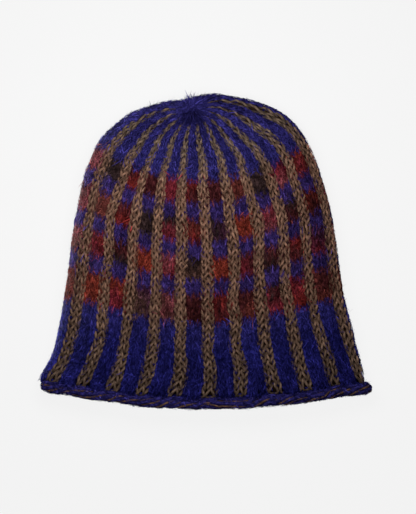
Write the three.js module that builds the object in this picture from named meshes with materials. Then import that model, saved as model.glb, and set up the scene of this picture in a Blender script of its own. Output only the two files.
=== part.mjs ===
// A stranded-knit beanie, lying flat on its back layer with its front up.
// Millimetres. +X runs to the right across the front, +Y from the rim to the crown, +Z up.
// The origin is on the surface that the beanie lies on, below the middle of its box.
//
// The fabric is one bag. A place on it has two co-ordinates: the knitted row, from 0 at the rim
// to LAST_ROW at the gather, and the column, from 0 to REPEATS round the beanie. Each column is
// one repeat of the stripes: a mohair stripe, then a camel stripe.

import * as THREE from 'three';

// ---------------------------------------------------------------- driving dimensions

const REPEATS = 22; // stripe repeats round the beanie
const LAST_ROW = 39; // the row that is drawn together at the gather
const WALL = 4; // thickness of the stranded knit, its floats included
const CLEARANCE = 0.3; // gap between two pieces that touch
const LEFT_FOLD_COLUMN = 0.13; // where the fabric folds under on the left
const RIGHT_FOLD_COLUMN = 11.2; // and on the right
const RIM_FAN = 0.4; // columns fewer on each side of the front at the rim, where it is drawn out
const FAN_ROWS = 9; // the rows over which the fan runs out
const MOHAIR_MIDDLE = 0.28; // place of the mohair stripe's middle in its repeat

const RIB_RELIEF = 0.6; // height of a mohair stripe over the mean surface
const GATHER_RELIEF = 1.1; // the same where the crown is pleated
const PLEATS_FROM_ROW = 31; // the pleats deepen from here to the gather

const EDGE_RADIUS = 4.4; // the corded edge that finishes the rim
const EDGE_SIDES = 8;
const EDGE_STEPS = 88;
const EDGE_SEAT = 1; // from the last row to the cord's flat side, so that its facets stay clear

const KNOT_RADIUS = 7; // the knot of drawn-up stitches on the crown
const KNOT_HEIGHT = 5;
const KNOT_TAIL_DEPTH = 6;
const KNOT_SIDES = 16;
const EYE_CLEARANCE = 0.4; // between the knot's tail and the eye of the fabric

const AROUND_OUTSIDE = 88; // facets round the outside, four to a repeat
const AROUND_INSIDE = 44;

const MIDDLE_Y = 0.8; // of the sections below, taken off so that the origin is under the middle

// How square the bag's two layers are where they turn over at the side folds.
const FRONT_FULLNESS = 2.4;
const BACK_FULLNESS = 4.5;

// ---------------------------------------------------------------- sections of the bag

// One line for each section, along a knitted row, through the middle of the wall.
// front, back: the middle of the upper and the lower layer. left, right: the side folds.
// bow: how early the row leaves the straight line between its folds (0.5 is an ellipse).
const SECTIONS = table(
  ['row', 'frontY', 'frontZ', 'backY', 'backZ', 'leftX', 'leftY', 'rightX', 'rightY', 'sideZ', 'bow'],
  [
    [0, -105.2, 23.0, -99.5, 3.9, -116.6, -93, 116.4, -94.6, 10.5, 1.3],
    [3, -88.6, 25.4, -81, 2.2, -110.6, -75.5, 110.2, -75.5, 10.0, 1.5],
    [10, -52, 28.8, -41, 1.7, -102.0, -34.5, 101.0, -34.5, 10.5, 1.6],
    [20, 1, 30.0, 15, 1.7, -93.4, 26, 90.4, 26, 11.0, 1.2],
    [26, 34.4, 29.2, 49, 1.7, -85.0, 62, 80.8, 62, 11.0, 1.0],
    [29, 52, 28.2, 66, 1.7, -77.4, 78.2, 72.8, 80, 11.0, 0.8],
    [32, 67.5, 26.6, 86, 1.7, -63.7, 92.8, 58.5, 97.6, 11.0, 0.65],
    [34, 77.5, 25.0, 99, 2.2, -51, 101, 41.5, 106, 11.0, 0.55],
    [36, 88, 23.2, 110, 6.8, -33.5, 106.6, 21, 111.2, 13.0, 0.5],
    [37, 93, 22.2, 112.6, 12.2, -24.5, 107.4, 10, 111.8, 15.4, 0.5],
    [38, 97.6, 21.3, 111.8, 17.6, -17, 106.4, -1, 108.4, 19.0, 0.5],
    [39, 101, 20.6, 110, 19.4, -14, 105.5, -5, 105.7, 20.0, 0.5],
  ],
);

// Soft dents of the front layer where it sinks over the hollow inside.
const DENTS = table(
  ['row', 'column', 'rows', 'columns', 'depth'],
  [
    [31, 5.2, 3.5, 2.4, 1.6],
    [24, 9.0, 6, 0.9, 1.4],
    [8, 3.0, 5, 1.3, 1.3],
    [5, 8.6, 4, 1.2, 1.2],
    [17, 6.4, 7, 1.6, 1.0],
  ],
);

function table(columns, rows) {
  return rows.map((row) => Object.fromEntries(columns.map((name, i) => [name, row[i]])));
}

// ---------------------------------------------------------------- the fabric's surface

// Slopes of a smooth curve through the sections that never overshoots them.
function slopesOf(name) {
  const steps = SECTIONS.slice(1).map((next, i) => {
    const run = next.row - SECTIONS[i].row;
    return { run, slope: (next[name] - SECTIONS[i][name]) / run };
  });
  return SECTIONS.map((_, i) => {
    if (i === 0) return steps[0].slope;
    if (i === steps.length) return steps[i - 1].slope;
    const [before, after] = [steps[i - 1], steps[i]];
    if (before.slope * after.slope <= 0) return 0;
    const weightBefore = 2 * after.run + before.run;
    const weightAfter = after.run + 2 * before.run;
    return (weightBefore + weightAfter) / (weightBefore / before.slope + weightAfter / after.slope);
  });
}

const SECTION_VALUES = Object.keys(SECTIONS[0]).filter((name) => name !== 'row');
const SLOPES = Object.fromEntries(SECTION_VALUES.map((name) => [name, slopesOf(name)]));

// The section at any row, between the ones in the table.
function sectionAt(row) {
  const last = SECTIONS.length - 2;
  const found = SECTIONS.findIndex((section, i) => i <= last && row < SECTIONS[i + 1].row);
  const i = found < 0 ? last : found;
  const run = SECTIONS[i + 1].row - SECTIONS[i].row;
  const t = (row - SECTIONS[i].row) / run;
  const section = {};
  for (const name of SECTION_VALUES) {
    section[name] =
      (1 + 2 * t) * (1 - t) ** 2 * SECTIONS[i][name] +
      t * (1 - t) ** 2 * run * SLOPES[name][i] +
      t * t * (3 - 2 * t) * SECTIONS[i + 1][name] +
      t * t * (t - 1) * run * SLOPES[name][i + 1];
  }
  return section;
}

// One layer of a section, from fold to fold, as points with their lengths along it.
function layerOf(section, isFront) {
  const steps = 160;
  const power = 2 / (isFront ? FRONT_FULLNESS : BACK_FULLNESS);
  const middleX = (section.leftX + section.rightX) / 2;
  const halfWidth = (section.rightX - section.leftX) / 2;
  const middleY = isFront ? section.frontY : section.backY;
  const middleZ = isFront ? section.frontZ : section.backZ;
  const direction = isFront ? 1 : -1;
  const points = [];
  const lengths = [0];
  for (let i = 0; i <= steps; i += 1) {
    const turn = (Math.PI * i) / steps;
    const across = -direction * Math.sign(Math.cos(turn)) * Math.abs(Math.cos(turn)) ** power;
    const bow = Math.max(0, 1 - across * across) ** section.bow;
    const foldY = section.leftY + ((section.rightY - section.leftY) * (1 + across)) / 2;
    const foldMiddleY = (section.leftY + section.rightY) / 2;
    points.push(new THREE.Vector3(
      middleX + halfWidth * across,
      foldY + (middleY - foldMiddleY) * bow,
      section.sideZ + (middleZ - section.sideZ) * Math.sin(turn) ** power,
    ));
    if (i > 0) lengths.push(lengths[i - 1] + points[i].distanceTo(points[i - 1]));
  }
  return { points, lengths };
}

function pointAlong({ points, lengths }, share) {
  const target = share * lengths[lengths.length - 1];
  let i = 1;
  while (i < lengths.length - 1 && lengths[i] < target) i += 1;
  const t = (target - lengths[i - 1]) / (lengths[i] - lengths[i - 1]);
  return points[i - 1].clone().lerp(points[i], t);
}

const layersByRow = new Map();

function layersAt(row) {
  if (!layersByRow.has(row)) {
    const section = sectionAt(row);
    layersByRow.set(row, { front: layerOf(section, true), back: layerOf(section, false) });
  }
  return layersByRow.get(row);
}

function foldColumnsAt(row) {
  const drawnOut = RIM_FAN * Math.max(0, 1 - row / FAN_ROWS) ** 2;
  return { leftFold: LEFT_FOLD_COLUMN + drawnOut, rightFold: RIGHT_FOLD_COLUMN - drawnOut };
}

// The middle of the wall at a row and a column. Its folds are those of foldRow.
function wallMiddle(row, column, foldRow = row) {
  const place = ((column % REPEATS) + REPEATS) % REPEATS;
  const { front, back } = layersAt(row);
  const { leftFold, rightFold } = foldColumnsAt(foldRow);
  const frontColumns = rightFold - leftFold;
  if (place >= leftFold && place < rightFold) {
    return pointAlong(front, (place - leftFold) / frontColumns);
  }
  const pastFold = (place - rightFold + REPEATS) % REPEATS;
  return pointAlong(back, pastFold / (REPEATS - frontColumns));
}

function rowDirection(row, column) {
  const step = 0.25;
  const above = wallMiddle(Math.min(LAST_ROW, row + step), column, row);
  const below = wallMiddle(Math.max(0, row - step), column, row);
  return above.sub(below).normalize();
}

function outwardNormal(row, column) {
  const step = 0.12;
  const across = wallMiddle(row, column + step).sub(wallMiddle(row, column - step));
  return across.cross(rowDirection(row, column)).normalize();
}

// How far the outside stands out from the smooth wall: stripes in relief, less the dents.
function relief(row, column) {
  const pleated = THREE.MathUtils.smoothstep(row, PLEATS_FROM_ROW, LAST_ROW - 1);
  const height = THREE.MathUtils.lerp(RIB_RELIEF, GATHER_RELIEF, pleated);
  const ribs = height * Math.cos(2 * Math.PI * (column - MOHAIR_MIDDLE));
  return row > LAST_ROW - 1 ? ribs * (LAST_ROW - row) : ribs;
}

function dentDepth(row, column) {
  return DENTS.reduce((sum, dent) => {
    const alongRows = (row - dent.row) / dent.rows;
    const alongColumns = (column - dent.column) / dent.columns;
    return sum + dent.depth * Math.exp(-alongRows * alongRows - alongColumns * alongColumns);
  }, 0);
}

function wallPoint(row, column, offset) {
  const point = wallMiddle(row, column).addScaledVector(outwardNormal(row, column), offset);
  point.z -= dentDepth(row, column);
  return point;
}

// The outside, flattened where it rests on the surface.
function outsidePoint(row, column) {
  const point = wallPoint(row, column, WALL / 2 + relief(row, column));
  point.z = Math.max(0, point.z);
  return point;
}

function insidePoint(row, column) {
  return wallPoint(row, column, -WALL / 2);
}

// ---------------------------------------------------------------- closed meshes from rings

function ringOf(count, pointAt) {
  return Array.from({ length: count }, (_, i) => pointAt(i));
}

function meshFromRings(rings, faces) {
  const starts = [];
  const positions = [];
  for (const ring of rings) {
    starts.push(positions.length / 3);
    for (const point of ring) positions.push(point.x, point.y, point.z);
  }
  const indices = faces.flatMap((face) => face.map(([ring, i]) => starts[ring] + (i % rings[ring].length)));
  const geometry = new THREE.BufferGeometry();
  geometry.setAttribute('position', new THREE.Float32BufferAttribute(positions, 3));
  geometry.setIndex(indices);
  geometry.computeVertexNormals();
  return geometry;
}

// Two triangles for each step between two rings with as many points.
function band(lower, upper, count) {
  const faces = [];
  for (let i = 0; i < count; i += 1) {
    faces.push([[lower, i], [lower, i + 1], [upper, i + 1]]);
    faces.push([[lower, i], [upper, i + 1], [upper, i]]);
  }
  return faces;
}

// Joins a fine ring to a ring with half as many points. The fine one lies first along the rows.
function halvingBand(fine, coarse, coarseCount) {
  const faces = [];
  for (let i = 0; i < coarseCount; i += 1) {
    faces.push([[fine, 2 * i], [fine, 2 * i + 1], [coarse, i]]);
    faces.push([[fine, 2 * i + 1], [coarse, i + 1], [coarse, i]]);
    faces.push([[fine, 2 * i + 1], [fine, 2 * i + 2], [coarse, i + 1]]);
  }
  return faces;
}

const flipped = (faces) => faces.map(([a, b, c]) => [a, c, b]);

// ---------------------------------------------------------------- the pieces

const OUTSIDE_ROWS = [0, 1.5, 3.5, 6, 8.5, 11, 13.5, 16, 18.5, 21, 23.5, 26, 28, 29.5, 31, 32, 33, 34, 35,
  36, 36.7, 37.4, 38, 38.5, 39];
const INSIDE_ROWS = [0, 3, 8, 13, 18, 23, 27, 30, 32, 33.5, 35, 36, 37, 38, 39];

// Body and crown are one continuous fabric, open at the rim, with an eye for the knot.
function knittedShell() {
  const columnAt = (i, count) => MOHAIR_MIDDLE + (i * REPEATS) / count;
  const rings = [
    ...OUTSIDE_ROWS.map((row) =>
      ringOf(AROUND_OUTSIDE, (i) => outsidePoint(row, columnAt(i, AROUND_OUTSIDE)))),
    ...INSIDE_ROWS.map((row) =>
      ringOf(AROUND_INSIDE, (i) => insidePoint(row, columnAt(i, AROUND_INSIDE)))),
  ];
  const firstInside = OUTSIDE_ROWS.length;
  const lastInside = rings.length - 1;
  const faces = [];
  for (let ring = 1; ring < firstInside; ring += 1) faces.push(...band(ring - 1, ring, AROUND_OUTSIDE));
  for (let ring = firstInside + 1; ring <= lastInside; ring += 1) {
    faces.push(...flipped(band(ring - 1, ring, AROUND_INSIDE)));
  }
  faces.push(...flipped(halvingBand(0, firstInside, AROUND_INSIDE)));
  faces.push(...halvingBand(firstInside - 1, lastInside, AROUND_INSIDE));
  return meshFromRings(rings, faces);
}

// A cord of the same yarns that runs round the rim, just beyond the last row.
function cordedEdge() {
  const reach = EDGE_RADIUS * Math.cos(Math.PI / EDGE_SIDES) + EDGE_SEAT;
  const rings = [];
  for (let side = 0; side < EDGE_SIDES; side += 1) {
    const turn = (2 * Math.PI * (side + 0.5)) / EDGE_SIDES;
    rings.push(ringOf(EDGE_STEPS, (i) => {
      const column = MOHAIR_MIDDLE + (i * REPEATS) / EDGE_STEPS;
      const along = rowDirection(0, column);
      const out = outwardNormal(0, column);
      const point = wallMiddle(0, column)
        .addScaledVector(along, -reach + EDGE_RADIUS * Math.cos(turn))
        .addScaledVector(out, EDGE_RADIUS * Math.sin(turn));
      point.z = Math.max(0, point.z - dentDepth(0, column));
      return point;
    }));
  }
  const faces = [];
  for (let side = 0; side < EDGE_SIDES; side += 1) {
    faces.push(...band((side + 1) % EDGE_SIDES, side, EDGE_STEPS));
  }
  return meshFromRings(rings, faces);
}

// The knot: a low cushion on the crown, with its tail through the eye of the fabric.
function crownKnot() {
  const eye = ringOf(AROUND_INSIDE, (i) => wallMiddle(LAST_ROW, (i * REPEATS) / AROUND_INSIDE));
  const middle = eye.reduce((sum, point) => sum.add(point), new THREE.Vector3()).divideScalar(eye.length);
  const axis = eye.reduce((sum, point, i) => {
    const next = eye[(i + 1) % eye.length].clone().sub(middle);
    return sum.add(point.clone().sub(middle).cross(next));
  }, new THREE.Vector3()).normalize();
  const tailRadius = eyeRadiusAround(middle, axis) - EYE_CLEARANCE;
  const seat = CLEARANCE + Math.max(...fabricBelowKnot(middle, axis));
  const profile = [
    [0, -KNOT_TAIL_DEPTH],
    [tailRadius * 0.7, -KNOT_TAIL_DEPTH + 0.6],
    [tailRadius, -KNOT_TAIL_DEPTH + 2.4],
    [tailRadius, seat],
    [KNOT_RADIUS * 0.92, seat],
    [KNOT_RADIUS, seat + KNOT_HEIGHT * 0.4],
    [KNOT_RADIUS * 0.72, seat + KNOT_HEIGHT * 0.85],
    [0, seat + KNOT_HEIGHT],
  ].map(([radius, height]) => new THREE.Vector2(radius, height));
  return { geometry: new THREE.LatheGeometry(profile, KNOT_SIDES), middle, axis };
}

function eyeRadiusAround(middle, axis) {
  const columns = ringOf(AROUND_INSIDE, (i) => MOHAIR_MIDDLE + (i * REPEATS) / AROUND_INSIDE);
  const rim = columns.flatMap((column) => [insidePoint(LAST_ROW, column), outsidePoint(LAST_ROW, column)]);
  return Math.min(...rim.map((point) => point.sub(middle).projectOnPlane(axis).length()));
}

// Heights of the outside over the eye's plane, wherever the knot's cushion covers it.
function fabricBelowKnot(middle, axis) {
  const heights = [];
  for (let row = LAST_ROW - 2; row <= LAST_ROW; row += 0.25) {
    for (let i = 0; i < AROUND_OUTSIDE; i += 1) {
      const point = outsidePoint(row, MOHAIR_MIDDLE + (i * REPEATS) / AROUND_OUTSIDE).sub(middle);
      const height = point.dot(axis);
      if (point.addScaledVector(axis, -height).length() < KNOT_RADIUS) heights.push(height);
    }
  }
  return heights;
}

// ---------------------------------------------------------------- yarns and assembly

const mohair = new THREE.MeshStandardMaterial({ color: 0x2b2068, roughness: 0.95, metalness: 0 });
const edgeMohair = new THREE.MeshStandardMaterial({ color: 0x2a2060, roughness: 0.95, metalness: 0 });
const knotMohair = new THREE.MeshStandardMaterial({ color: 0x241a5c, roughness: 0.95, metalness: 0 });

const beanie = new THREE.Group();
beanie.position.y = -MIDDLE_Y;

const shell = new THREE.Mesh(knittedShell(), mohair);
shell.name = 'knitted_shell';
beanie.add(shell);

const edge = new THREE.Mesh(cordedEdge(), edgeMohair);
edge.name = 'corded_edge';
beanie.add(edge);

const knotForm = crownKnot();
const knot = new THREE.Mesh(knotForm.geometry, knotMohair);
knot.name = 'crown_knot';
knot.position.copy(knotForm.middle);
knot.quaternion.setFromUnitVectors(new THREE.Vector3(0, 1, 0), knotForm.axis);
beanie.add(knot);

export default beanie;
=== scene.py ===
"""A stranded-knit beanie, lying flat with its front up, knitted yarn by yarn round its frame."""

import math

import bpy
import numpy as np
from bpy.props import FloatProperty, FloatVectorProperty, IntProperty, PointerProperty
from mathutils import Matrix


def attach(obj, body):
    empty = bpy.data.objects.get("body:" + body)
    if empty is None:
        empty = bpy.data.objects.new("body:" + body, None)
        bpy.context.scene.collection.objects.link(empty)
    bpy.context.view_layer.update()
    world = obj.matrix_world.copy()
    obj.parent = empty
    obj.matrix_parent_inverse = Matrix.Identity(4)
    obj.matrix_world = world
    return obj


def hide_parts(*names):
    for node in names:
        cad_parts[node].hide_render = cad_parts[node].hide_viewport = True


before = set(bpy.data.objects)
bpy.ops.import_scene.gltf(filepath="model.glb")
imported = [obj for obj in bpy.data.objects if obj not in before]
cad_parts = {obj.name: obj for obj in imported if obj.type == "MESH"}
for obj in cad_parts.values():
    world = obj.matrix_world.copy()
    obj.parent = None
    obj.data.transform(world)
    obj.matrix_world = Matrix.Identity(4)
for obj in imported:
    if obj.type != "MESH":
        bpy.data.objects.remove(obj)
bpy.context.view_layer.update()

bl_info = {
    "name": "Knitted beanie",
    "version": (1, 0, 0),
    "blender": (4, 5, 0),
    "location": "View3D > Sidebar > Beanie",
    "description": "Knits a striped beanie, lying flat, from its yarns",
    "category": "Add Mesh",
}

MM = 0.001
TURN = 2.0 * math.pi

# ------------------------------------------------------------------ the fabric's measures (mm)
# A place on the fabric has a row, from 0 at the rim to LAST_ROW at the gather, and a column,
# from 0 to REPEATS round the beanie. A column holds a mohair stripe, then a camel stripe.

REPEATS = 22
LAST_ROW = 39
LEFT_FOLD_COLUMN = 0.13
RIGHT_FOLD_COLUMN = 11.2
RIM_FAN = 0.4  # columns fewer on each side of the front at the rim
FAN_ROWS = 9
MOHAIR_SHARE = 0.56  # the raised part of a repeat, with the mohair in its middle
FRONT_FULLNESS = 2.4  # how square the two layers are where they turn over at the folds
BACK_FULLNESS = 4.5
LAYER_POINTS = 161
MIDDLE_Y = 0.8

RIB_RELIEF = 0.6  # height of a mohair stripe over the mean surface
GATHER_RELIEF = 1.1  # the same where the crown is pleated
PLEATS_FROM_ROW = 31
PUCKER = 0.6  # height of the soft bumps that uneven knitting leaves
PUCKER_FADE = 6  # the rows before the gather over which they die out

EDGE_RADIUS = 4.4  # of the rim's cord
EDGE_FLATS = 8  # its solid is faceted, and is seated against row 0 by a flat
EDGE_SEAT = 1
TUCK_FROM_X = -112  # the cord is drawn in where it rounds the left corner
TUCK_SHARE = 0.58

SECTION_NAMES = (
    "row", "front_y", "front_z", "back_y", "back_z",
    "left_x", "left_y", "right_x", "right_y", "side_z", "bow",
)
SECTION_ROWS = (
    (0, -105.2, 23.0, -99.5, 3.9, -119.2, -93, 116.4, -94.6, 10.5, 1.3),
    (3, -88.6, 25.4, -81, 2.2, -109.6, -75.5, 110.6, -75.5, 10.0, 1.5),
    (10, -52, 28.8, -41, 1.7, -101.0, -34.5, 99.9, -34.5, 10.5, 1.6),
    (20, 1, 30.0, 15, 1.7, -92.2, 26, 90.4, 26, 11.0, 1.2),
    (26, 34.4, 29.2, 49, 1.7, -84.2, 62, 80.8, 62, 11.0, 1.0),
    (29, 52, 28.2, 66, 1.7, -76.8, 78.2, 72.8, 80, 11.0, 0.8),
    (32, 67.5, 26.6, 86, 1.7, -62.9, 92.8, 58.5, 97.6, 11.0, 0.65),
    (34, 77.5, 25.0, 99, 2.2, -51, 101, 41.5, 106, 11.0, 0.55),
    (36, 88, 23.2, 110, 6.8, -33.5, 106.6, 21, 111.2, 13.0, 0.5),
    (37, 93, 22.2, 112.6, 12.2, -24.5, 107.4, 10, 111.8, 15.4, 0.5),
    (38, 97.6, 21.3, 111.8, 17.6, -17, 106.4, -1, 108.4, 19.0, 0.5),
    (39, 101, 20.6, 110, 19.4, -14, 105.5, -5, 105.7, 20.0, 0.5),
)
SECTIONS = dict(zip(SECTION_NAMES, np.array(SECTION_ROWS, float).T))

# How far the stripes are drawn to the right, in columns, at each row of the table
EASE_COLUMNS = (0, 0.8, 1.8, 2.8, 4.8, 6.8, 8.8, 9.8, 10.8, 11.05, 14, 19, 22)
EASE_ROWS = (
    (0, 0.17, 0.17, 0.12, 0.05, -0.05, 0.07, 0.13, 0.04, -0.12, -0.10, 0, 0, 0.17),
    (3, 0.02, -0.01, 0.03, 0, 0, 0.06, 0.17, 0.05, -0.07, -0.04, 0, 0, 0.02),
    (12, 0.08, 0.08, 0.10, 0, 0, 0.02, 0.04, 0.02, 0.06, 0.15, 0, 0, 0.08),
    (22, 0.10, 0.10, 0.05, 0.05, 0, 0.07, 0.13, 0.02, 0.07, 0.20, 0, 0, 0.10),
    (28, 0.20, 0.22, 0.40, 0.20, -0.10, -0.08, -0.06, -0.05, -0.04, 0.15, 0, 0, 0.20),
    (33, 0.10, 0.15, 0.30, 0.20, -0.15, -0.20, -0.42, -0.33, -0.10, 0.10, 0, 0, 0.10),
    (39, 0, 0, 0, 0, 0, 0, 0, 0, 0, 0, 0, 0, 0),
)

DIP_X = -12.5  # the outline sinks in here, behind the gather
DIP_REACH = 10
DIP_DEPTH = 2.6
DIP_FROM_Y = 98
DIP_RISE = 9

DENTS = (  # row, column, rows, columns, depth: soft hollows of the front layer
    (31, 5.2, 3.5, 2.4, 1.6),
    (24, 9.0, 6, 0.9, 1.4),
    (8, 3.0, 5, 1.3, 1.3),
    (5, 8.6, 4, 1.2, 1.2),
    (17, 6.4, 7, 1.6, 1.0),
)

# ------------------------------------------------------------------ the pattern, row by row

RIM_ROWS = 10  # plain blue between the camel stripes
CROWN_FROM_ROW = 29  # plain blue again
BANDS = (("D", 10, 14), ("C", 16, 19), ("B", 21, 24), ("A", 26, 29))  # band, first row, end row
# The shades of each band's blocks, from the left fold across the front and again across the
# back: the shade at the block's top, then the one at its bottom.
CHART = {
    "A": "pp kk mr mm cc rm mm bb kk cp oc",
    "B": "mp bb mr kk kc br ku oo cp km om",
    "C": "pn rc mk oo pc kn oo mc mk rm uc",
    "D": "bb oo oc un pn mm rm mb kc cr mb",
}
SHADES = {
    "r": "red", "o": "orange", "c": "crimson", "p": "rose", "b": "brick",
    "m": "maroon", "u": "plum", "n": "brown", "k": "ebony",
}
STITCHES = (  # below each row: mohair stitches and camel stitches in a repeat
    (RIM_ROWS, 3, 2),
    (33, 2, 2),
    (34, 1, 2),
    (38, 1, 1),
    (LAST_ROW, 1, 0),
)
MOHAIR_PARTS = ((0, 0.48), (8, 0.48), (14, 0.47), (27, 0.47), (32, 0.43))  # row, part of a repeat
YARN_NARROWING = ((33, 1.0), (36, 0.82), (LAST_ROW, 0.7))  # row, thickness of the drawn-up yarn


def from_table(at, table):
    """A value between the lines of a two-column table."""
    return np.interp(at, *zip(*table))


def stitches_at(row):
    """Mohair and camel stitches in one repeat of a row."""
    return next((mohair, camel) for end, mohair, camel in STITCHES if row < end)


def mohair_share_at(row):
    """The part of a repeat that its mohair stitches take up."""
    if stitches_at(row)[1] == 0:
        return 1.0
    return float(from_table(row, MOHAIR_PARTS))


def band_at(row):
    """The band that a row is in, if any, and how far down the band it is, from 0 to 1."""
    for name, first, end in BANDS:
        if first <= row < end:
            return name, (end - 1 - row) / (end - 1 - first)
    return None, 0.0


def rows_by_pattern():
    """The rows with blocks, and the plain rows between them."""
    blocks = [row for row in range(LAST_ROW) if band_at(row)[0]]
    checks = [row for row in range(RIM_ROWS, CROWN_FROM_ROW) if row not in blocks]
    return blocks, checks


# ------------------------------------------------------------------ settings


def colour(name, description, default):
    return FloatVectorProperty(
        name=name, description=description, default=default,
        subtype="COLOR", size=3, min=0, max=1,
    )


def length(name, description, default):
    return FloatProperty(
        name=name, description=description, default=default,
        subtype="DISTANCE", unit="LENGTH", min=0,
    )


def amount(name, description, default, **limits):
    return FloatProperty(name=name, description=description, default=default, **limits)


def fraction(name, description, default):
    return amount(name, description, default, subtype="FACTOR", min=0, max=1)


def tally(name, description, default, least=0):
    return IntProperty(name=name, description=description, default=default, min=least)


class BeanieYarns(bpy.types.PropertyGroup):
    """Thickness of the yarns and the form of their stitches."""

    camel_radius: length("Camel radius", "Half the thickness of the camel wool", 1.02 * MM)
    mohair_radius: length("Mohair radius", "Half the thickness of the mohair", 1.45 * MM)
    loop_depth: length("Loop depth", "How far stitches stand over the wall's middle", 1.0 * MM)
    float_depth: length("Float depth", "How far a float hangs behind the stitches", 1.2 * MM)
    loop_height: amount("Loop height", "Half a stitch's height, in rows", 0.76, min=0.5, max=1)
    loop_lean: amount("Loop lean", "Opening of a stitch, in stitch widths", 0.3, min=0, max=0.4)
    unevenness: amount("Unevenness", "How uneven the hand knitting is", 1.0, min=0, max=2)


class BeanieColours(bpy.types.PropertyGroup):
    """Colours of the yarns."""

    camel: colour("Camel", "Camel wool", (0.139, 0.0745, 0.0490))
    greyed_camel: colour("Greyed camel", "Camel wool among plain mohair", (0.104, 0.071, 0.050))
    indigo: colour("Indigo", "Plain mohair", (0.0185, 0.0155, 0.092))
    deep_indigo: colour("Deep indigo", "Plain mohair near the rim", (0.0115, 0.0112, 0.092))
    violet: colour("Violet", "Plain mohair between the blocks", (0.0220, 0.0130, 0.070))
    red: colour("Red", "Variegated mohair, red", (0.089, 0.010, 0.009))
    orange: colour("Orange", "Variegated mohair, orange red", (0.104, 0.016, 0.010))
    crimson: colour("Crimson", "Variegated mohair, crimson", (0.085, 0.010, 0.015))
    rose: colour("Rose", "Variegated mohair, rose", (0.105, 0.025, 0.030))
    brick: colour("Brick", "Variegated mohair, brick", (0.070, 0.016, 0.013))
    maroon: colour("Maroon", "Variegated mohair, maroon", (0.036, 0.008, 0.009))
    plum: colour("Plum", "Variegated mohair, plum", (0.036, 0.011, 0.024))
    brown: colour("Brown", "Variegated mohair, brown", (0.046, 0.022, 0.017))
    ebony: colour("Ebony", "Variegated mohair, black brown", (0.016, 0.009, 0.009))
    # Painted side light: how much lighter the yarn is painted on each fold
    left_sidelight: amount("Left bloom", "How much lighter the yarn is on the left fold", 2.2, min=0)
    right_sidelight: amount("Right bloom", "The same on the right fold", 0.6, min=0)


class BeanieHalo(bpy.types.PropertyGroup):
    """The loose fibres that stand off the brushed mohair."""

    rim_fibres: tally("Rim fibres", "Fibres off the rim's plain stripes", 30000)
    check_fibres: tally("Check fibres", "Fibres off the plain checks", 14000)
    block_fibres: tally("Block fibres", "Fibres off the blocks", 26000)
    crown_fibres: tally("Crown fibres", "Fibres off the crown", 22000)
    fibre_length: length("Fibre length", "Mean length of a loose fibre", 4.4 * MM)
    fibre_width: length("Fibre width", "Thickness of a single fibre", 0.14 * MM)
    lock_width: length("Lock width", "Thickness of a lock of fibres", 0.42 * MM)
    locks: fraction("Locks", "Share of fibres that lie in locks", 0.4)
    lightness: amount("Lightness", "How light fibres are beside the yarn", 0.92, min=0)
    contrast: amount("Contrast", "How far fibres differ in lightness", 0.68, min=0)
    strays: fraction("Strays", "Share of fibres that have strayed off their stripe", 0.22)
    # Painted side light on the fibres of the left fold
    fold_sidelight: amount("Fold bloom", "How much lighter fibres are on the left fold", 1.1, min=0)


class BeanieEdge(bpy.types.PropertyGroup):
    """The twisted cord along the rim."""

    strands: tally("Strands", "Strands of each yarn", 5, least=2)
    turns: tally("Turns", "Turns of the twist all the way round", 7, least=1)
    mohair_radius: length("Mohair radius", "Half the thickness of a mohair strand", 1.45 * MM)
    camel_radius: length("Camel radius", "Half the thickness of a camel strand", 0.8 * MM)
    fibres: tally("Fibres", "Fibres off the cord", 9000)
    dash_reach: amount("Dash reach", "Half the turn with camel outside", 1.0, unit="ROTATION")


class BeanieKnot(bpy.types.PropertyGroup):
    """The knot of drawn-up stitches on the crown."""

    loops: tally("Loops", "Loops of yarn in the knot", 11, least=3)
    radius: length("Yarn radius", "Half the thickness of the knot's yarn", 1.25 * MM)
    fibres: tally("Fibres", "Fibres in the tuft", 2600)


class BeanieStage(bpy.types.PropertyGroup):
    """Camera, lights and floor."""

    camera_height: length("Camera height", "Height of the camera over the beanie", 1.8)
    view_width: length("View width", "Width of the view at the beanie", 0.3045)
    key_power: amount("Key power", "Power of the soft box", 0.99, unit="POWER")
    sky: amount("Room light", "Strength of the even light", 0.13, min=0)
    floor: colour("Floor", "Colour of the floor", (0.05, 0.05, 0.05))
    floor_glow: amount("Floor glow", "Light that the floor gives off", 0.87, min=0)


# ------------------------------------------------------------------ the fabric's surface


def smooth_slopes(x, y):
    """Slopes of a smooth curve through points that never overshoots them."""
    run = np.diff(x)
    rise = np.diff(y) / run
    slopes = np.zeros_like(y)
    slopes[0], slopes[-1] = rise[0], rise[-1]
    for i in range(1, len(x) - 1):
        if rise[i - 1] * rise[i] > 0:
            before = 2 * run[i] + run[i - 1]
            after = run[i] + 2 * run[i - 1]
            slopes[i] = (before + after) / (before / rise[i - 1] + after / rise[i])
    return slopes


def through(x, y, at):
    """The smooth curve through (x, y), at any places."""
    slopes = smooth_slopes(x, y)
    i = np.clip(np.searchsorted(x, at, side="right") - 1, 0, len(x) - 2)
    run = x[i + 1] - x[i]
    t = (at - x[i]) / run
    return (
        (1 + 2 * t) * (1 - t) ** 2 * y[i]
        + t * (1 - t) ** 2 * run * slopes[i]
        + t * t * (3 - 2 * t) * y[i + 1]
        + t * t * (t - 1) * run * slopes[i + 1]
    )


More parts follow.
